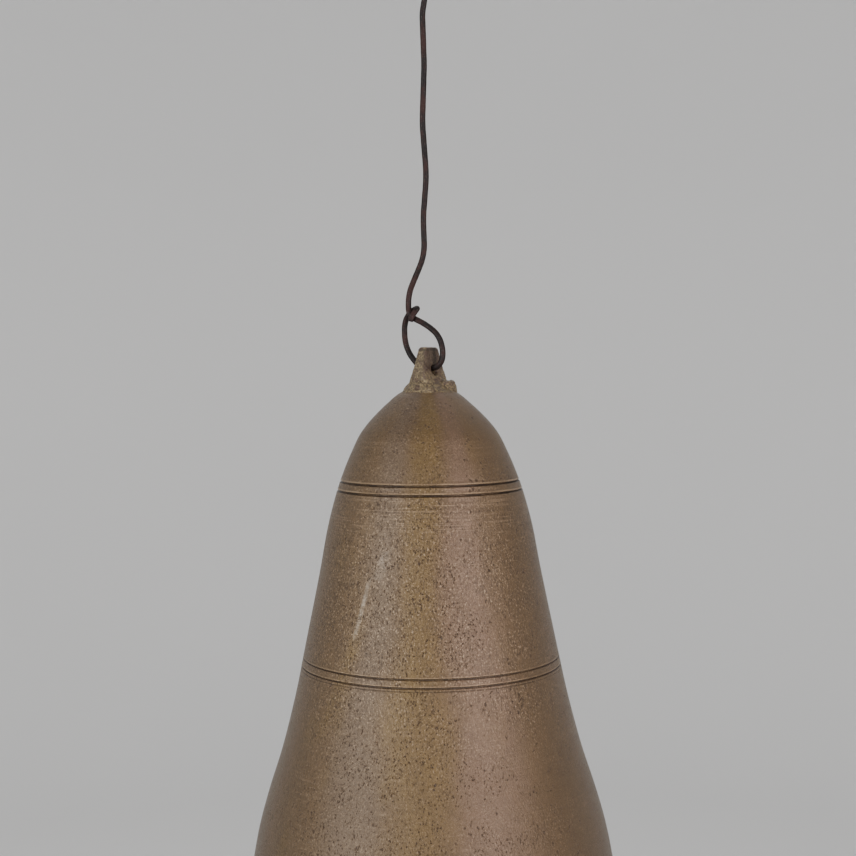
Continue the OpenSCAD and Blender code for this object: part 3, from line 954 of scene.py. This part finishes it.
def wire_line():
    """The wire's centre line in millimetres from the lug, as (x, y, z): from the tail of
    the hooked end, round the loop and up to the eye and its wrapped end."""
    eye_z = (HOOK_SEAT.z - LUG_WIRE.z) / MM + HOOK_R + HANG_GAP - EYE_INNER_R
    loop = followed((0, 0, 0), LOOP_BENDS, WIRE_STEP)
    span = followed((0, 0, SLANT), STANDING_BENDS, WIRE_STEP)
    across = loop[-1][0] + span[-1][0]
    up = loop[-1][1] + span[-1][1]
    slant_run = -across / math.cos(SLANT)
    flare = math.acos(FLARE_R / (FLARE_R + EYE_R))
    neck = eye_z - (FLARE_R + EYE_R) * math.sin(flare)
    neck_run = neck - up - slant_run * math.sin(SLANT)
    main = followed((0, 0, 0), LOOP_BENDS + [(slant_run, 0, 0)] + STANDING_BENDS + [
        (neck_run, FLARE_R, math.degrees(flare)),
        (0, EYE_R, -180 - math.degrees(flare)),
    ], WIRE_STEP)
    arm = followed((0, 0, math.pi), FREE_ARM_BENDS, WIRE_STEP)

    main = np.array([(x, 0, z) for x, z, _ in main])
    arm = np.array([(x, 0, z) for x, z, _ in arm])

    right, nearer = camera_directions()
    knot = [right * u + nearer * w + np.array([0, 0, z]) for u, w, z in KNOT]
    arm = np.concatenate([arm, knot])

    # The eye's end crosses in front of the neck and winds down round it.
    turns = np.linspace(WRAP_START, WRAPS, 60)
    wrap_r = 2 * WIRE_R + WRAP_GAP
    top = neck - 0.6
    helix = np.stack([
        wrap_r * np.cos(TAU * turns),
        -wrap_r * np.sin(TAU * turns),
        top - WRAP_PITCH * turns,
    ], axis=-1)
    line = np.concatenate([arm[::-1], main[1:], helix])
    return line * MM + np.array(LUG_WIRE)


def make_wire():
    line = resampled(wire_line(), 0.7 * MM)
    radius = (WIRE_R + WIRE_SKIN) * MM * (1 + 0.02 * noise_field(line, 6 * MM, 31))
    # The cut ends are a little chamfered.
    radius[[0, -1]] *= 0.8
    wire = tube("iron_wire", line, radius, 20)
    roughen(wire, [(1.6 * MM, 0.035 * MM, 32), (0.7 * MM, 0.02 * MM, 33)])
    return finished(wire, iron("wire_iron", srgb(32, 24, 24), srgb(62, 40, 37), 0.2, 0.5))


# ---- Screw hook -------------------------------------------------------------

HOOK_R = 2.5
HOOK_NECK_RUN = 6
HOOK_NECK_R = 5
HOOK_BOWL_R = 10.5
HOOK_SEAT_LEN = 5
# The bar leans out just far enough for its seat to come under the shank.
HOOK_LEAN = math.degrees(
    math.acos((HOOK_NECK_R - HOOK_SEAT_LEN / 2) / (HOOK_NECK_R + HOOK_BOWL_R))
)
HOOK_BENDS = [
    (HOOK_NECK_RUN, HOOK_NECK_R, HOOK_LEAN),
    (0, HOOK_BOWL_R, -90 - HOOK_LEAN),
    (HOOK_SEAT_LEN, HOOK_BOWL_R, -105),
    (3, 0, 0),
]
SHANK_LEN = 20
SHANK_TIP = 6
THREAD_R = 2.4
THREAD_CORE_R = 1.7
THREAD_PITCH = 2.2
POINT_R = 0.35
POINT_CORE_R = 0.25


def make_hook():
    sides = 36
    shank = np.arange(SHANK_LEN + SHANK_TIP, 0.1, -0.22)
    bar = followed((0, 0, -math.pi / 2), HOOK_BENDS, 0.6)
    line = [(0, 0, z) for z in shank] + [(0, y, z) for y, z, _ in bar]
    radii = np.full((len(line), sides), HOOK_R)

    # The thread winds up the shank, runs out at the neck and thins at the point.
    z = shank[:, None]
    phase = (z / THREAD_PITCH + np.arange(sides)[None, :] / sides) % 1
    ridge = np.clip(1.25 * (1 - np.abs(phase - 0.5) / 0.3), 0, 1)
    point = np.clip((SHANK_LEN + SHANK_TIP - z) / SHANK_TIP, 0, 1)
    crest = POINT_R + (THREAD_R - POINT_R) * point
    core = POINT_CORE_R + (THREAD_CORE_R - POINT_CORE_R) * point
    core = core + (crest - core) * smoothstep(3.2, 0.8, z)
    radii[:len(shank)] = core + (crest - core) * ridge
    radii[-1] = HOOK_R - 0.5
    hook = tube("screw_hook_iron", np.array(line) * MM, radii * MM, sides)

    def below_beam(points):
        return smoothstep(0, -2 * MM, points[:, 2])
    roughen(hook, [(2.2 * MM, 0.05 * MM, 61), (0.9 * MM, 0.02 * MM, 62)], weight=below_beam)
    return finished(hook, iron("hook_iron", srgb(80, 76, 72), srgb(96, 70, 54), 0.1, 0.42))


# ---- Clapper ----------------------------------------------------------------

STAPLE_R = 2.0
SOCKET_PLAY = 0.03
STAPLE_SPREAD = 8
STAPLE_TOP = 13.5
STAPLE_BEND_R = 5.5
LINK_RING_R = 8.75
LINK_R = 1.75
EYE_BAR_R = 2.5
EYE_RING_R = 7.5
ROD_R = 3.5
SPIGOT_R = 3.0
BALL_R = 17
BALL_FLAT = 15.5
BORE_R = 3.05
WASHER_R = 6.5
WASHER_THICK = 1.6
PEEN_R = 4.4
PEEN_LEN = 2.0


def quiet_near(spots, reach):
    """A weight for roughen() that leaves the metal true where pieces hang together."""
    def weight(points):
        away = np.min([np.linalg.norm(points - np.array(spot), axis=1) for spot in spots], axis=0)
        return smoothstep(0.4 * reach, reach, away)
    return weight


def make_staple():
    seat = STAPLE_SEAT.z / MM
    top = LUG_WIRE.z / MM - STAPLE_TOP
    leg = top - seat - STAPLE_BEND_R
    bar = followed((-STAPLE_SPREAD, top, -math.pi / 2), [
        (leg, STAPLE_BEND_R, 90),
        (2 * (STAPLE_SPREAD - STAPLE_BEND_R), STAPLE_BEND_R, 90),
        (leg, 0, 0),
    ], 0.5)
    staple = tube("staple_bar", np.array([(0, y, z) for y, z, _ in bar]) * MM, STAPLE_R * MM, 28)
    roughen(staple, [(3 * MM, 0.16 * MM, 71), (1.2 * MM, 0.06 * MM, 72)],
            weight=quiet_near([STAPLE_SEAT], 5 * MM))
    return staple


def make_link():
    middle = LINK_SEAT.z / MM + LINK_RING_R
    turn = TAU * np.arange(120) / 120
    line = np.stack([LINK_RING_R * np.cos(turn), 0 * turn, middle + LINK_RING_R * np.sin(turn)], axis=-1)
    # The weld left the ring thicker on one side.
    weld = np.exp(-((np.minimum(turn, TAU - turn) / 0.16) ** 2))
    link = tube("link_ring", line * MM, (LINK_R + 0.3 * weld) * MM, 28, closed=True)
    seats = [STAPLE_SEAT, LINK_SEAT]
    roughen(link, [(2.6 * MM, 0.14 * MM, 73), (1.1 * MM, 0.05 * MM, 74)],
            weight=quiet_near(seats, 4.5 * MM))
    return link


def ball_middle():
    low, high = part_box("clapper_ball")
    return (low[2] + high[2]) / 2 / MM


def make_rod():
    ball = ball_middle()
    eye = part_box("clapper_rod")[1][2] / MM - EYE_BAR_R - EYE_RING_R
    turn = TAU * np.arange(96) / 96
    line = np.stack([0 * turn, EYE_RING_R * np.cos(turn), eye + EYE_RING_R * np.sin(turn)], axis=-1)
    rod = tube("rod_forging", line * MM, EYE_BAR_R * MM, 32, closed=True)
    start = eye - EYE_RING_R
    shoulder = ball + BALL_FLAT
    under = ball - BALL_FLAT - WASHER_THICK
    height = np.array([
        start + 1.4, start - 0.5, start - 3, start - 7, start - 12,
        shoulder + 4, shoulder + 0.6, shoulder, shoulder, under, under, under - 0.7, under - 1.6,
        under - PEEN_LEN,
    ])
    radius = np.array([
        3.4, 4.3, 4.2, 3.8, ROD_R,
        ROD_R, ROD_R, ROD_R - 0.4, SPIGOT_R, SPIGOT_R, PEEN_R - 0.1, PEEN_R, PEEN_R - 0.9,
        1.6,
    ])
    combined(rod, turned("shaft", radius * MM, height * MM, 48), "UNION")
    remeshed(rod, 0.5 * MM)
    softened(rod, 0.5, 2)

    def forged(points):
        true = quiet_near([LINK_SEAT], 5 * MM)(points)
        return true * smoothstep(shoulder * MM, (shoulder + 2) * MM, points[:, 2])
    roughen(rod, [(9 * MM, 0.3 * MM, 75), (3 * MM, 0.14 * MM, 76), (1.3 * MM, 0.06 * MM, 77)],
            weight=forged)
    return rod


def make_ball():
    middle = ball_middle()
    tilt = math.asin(BALL_FLAT / BALL_R)
    arc = np.linspace(tilt, -tilt, 61)
    radius = BALL_R * np.cos(arc)
    height = middle + BALL_R * np.sin(arc)
    flat = np.linspace(BORE_R + 0.5, radius[0] - 0.3, 5)
    top = np.full(5, middle + BALL_FLAT)
    bottom = np.full(5, middle - BALL_FLAT)
    radius = np.concatenate([[BORE_R], flat, radius, flat[::-1], [BORE_R], [BORE_R]])
    height = np.concatenate([[top[0] - 0.5], top, height, bottom, [bottom[0] + 0.5], [middle]])
    ball = turned("ball_casting", radius * MM, height * MM, 120, bored=True)
    roughen(ball, [(7 * MM, 0.16 * MM, 78), (2.2 * MM, 0.12 * MM, 79), (1.0 * MM, 0.05 * MM, 80)],
            weight=clear_of_bore)
    raise_seam(ball, 0.22 * MM)
    return ball


def clear_of_bore(points):
    """A weight for roughen() that leaves the metal round the ball's bore true."""
    return smoothstep(4 * MM, 7 * MM, np.hypot(points[:, 0], points[:, 1]))


def raise_seam(ball, height):
    """Cast in two halves: a seam runs round the ball, ground nearly flush."""
    mesh = ball.data
    points = np.empty(len(mesh.vertices) * 3)
    mesh.vertices.foreach_get("co", points)
    points = points.reshape(-1, 3)
    out = points - np.array([0, 0, ball_middle() * MM])
    away = np.abs(out[:, 1]) / MM
    ridge = height * np.exp(-((away / 0.55) ** 2)) * clear_of_bore(points)
    points = points + unit(out) * ridge[:, None]
    mesh.vertices.foreach_set("co", points.ravel())
    mesh.update()


def make_washer():
    top = ball_middle() - BALL_FLAT
    bottom = top - WASHER_THICK
    edge = 0.35
    radius = np.array([
        BORE_R, BORE_R + edge, 5, WASHER_R - edge, WASHER_R, WASHER_R, WASHER_R - edge, 5,
        BORE_R + edge, BORE_R,
    ])
    height = np.array([
        top - edge, top - 0.02, top - 0.02, top - 0.02, top - edge, bottom + edge, bottom, bottom,
        bottom, bottom + edge,
    ])
    washer = turned("washer_plate", radius * MM, height * MM, 64, bored=True)
    roughen(washer, [(2.5 * MM, 0.1 * MM, 81)])
    return washer


# ---- Light and stage --------------------------------------------------------

def material_of_stage():
    s = Shader("studio_grey")
    tone = s.mix(s.noise(900, detail=2, seed=91), srgb(243, 243, 242), srgb(248, 248, 247))
    return s.finish(tone, 0.9, 0.0)


def make_stage():
    """A round pale studio: a flat floor that curves up into a wall on every side."""
    floor_z = cad_low.z - 0.45
    reach, corner, wall_top = 2.6, 0.8, 4.6
    profile = [(0.0, 0.0), (reach - corner, 0.0)]
    for a in np.linspace(0, math.pi / 2, 13)[1:]:
        profile.append((reach - corner + corner * math.sin(a), corner - corner * math.cos(a)))
    profile.append((reach, wall_top))
    sides = 96
    turn = TAU * np.arange(sides) / sides
    points = []
    for radius, height in profile[1:]:
        for a in turn:
            points.append((radius * math.cos(a), radius * math.sin(a), floor_z + height))
    faces = grid_faces(len(profile) - 1, sides)
    faces.append(list(range(sides)))
    mesh = bpy.data.meshes.new("studio")
    mesh.from_pydata(points, [], faces)
    mesh.shade_smooth()
    stage = bpy.data.objects.new("studio", mesh)
    bpy.context.scene.collection.objects.link(stage)
    mesh.materials.append(material_of_stage())
    # Seen by the camera and lit, but kept out of the metal's reflections.
    stage.visible_glossy = False


def area_light(name, bearing, distance, height, width, tall, power, colour=(1, 1, 1)):
    """A soft light, bearing degrees to the right of the camera as the bell sees it."""
    right, back = (Vector(direction) for direction in camera_directions())
    turn = math.radians(bearing)
    middle = Vector((0, 0, LUG_WIRE.z - 0.12))
    place = middle + distance * (math.cos(turn) * back + math.sin(turn) * right) + Vector((0, 0, height))
    data = bpy.data.lights.new(name, "AREA")
    data.shape = "RECTANGLE"
    data.size = width
    data.size_y = tall
    data.energy = power
    data.color = colour
    light = bpy.data.objects.new(name, data)
    bpy.context.scene.collection.objects.link(light)
    light.rotation_mode = "QUATERNION"
    light.rotation_quaternion = (place - middle).to_track_quat("Z", "Y")
    light.location = place
    light.visible_camera = False


def make_lights():
    world = bpy.data.worlds.new("sky")
    world.use_nodes = True
    world.node_tree.nodes["Background"].inputs["Color"].default_value = (1, 1, 1, 1)
    world.node_tree.nodes["Background"].inputs["Strength"].default_value = 0.4
    bpy.context.scene.world = world
    area_light("left_window", -47, 1.5, 0.15, 1.0, 1.6, 16, (0.96, 0.99, 1))
    area_light("right_window", 39, 1.5, 0.15, 0.6, 1.6, 15, (1, 0.935, 0.96))
    area_light("top", 180, 1.2, 1.6, 1.5, 1.5, 5)


make_stage()
make_lights()


def place(piece, body, node, slot):
    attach(piece, body)
    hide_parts(node)


place(make_bell(), "bell", "bell", "aged_bronze")
place(make_wire(), "wire", "hanging_wire", "wire_iron")
place(make_hook(), "hook", "screw_hook", "hook_iron")

staple = make_staple()
finished(staple, iron("staple_iron", srgb(66, 58, 52), srgb(92, 62, 46), 0.2, 0.55))
place(staple, "bell", "crown_staple", "staple_iron")

forged = iron("clapper_iron", srgb(62, 57, 53), srgb(90, 61, 46), 0.16, 0.5, depth=0.12)
for piece, body, node in (
    (make_link(), "link", "clapper_link"),
    (make_rod(), "clapper", "clapper_rod"),
    (make_ball(), "clapper", "clapper_ball"),
    (make_washer(), "clapper", "clapper_washer"),
):
    finished(piece, forged)
    place(piece, body, node, "clapper_iron")
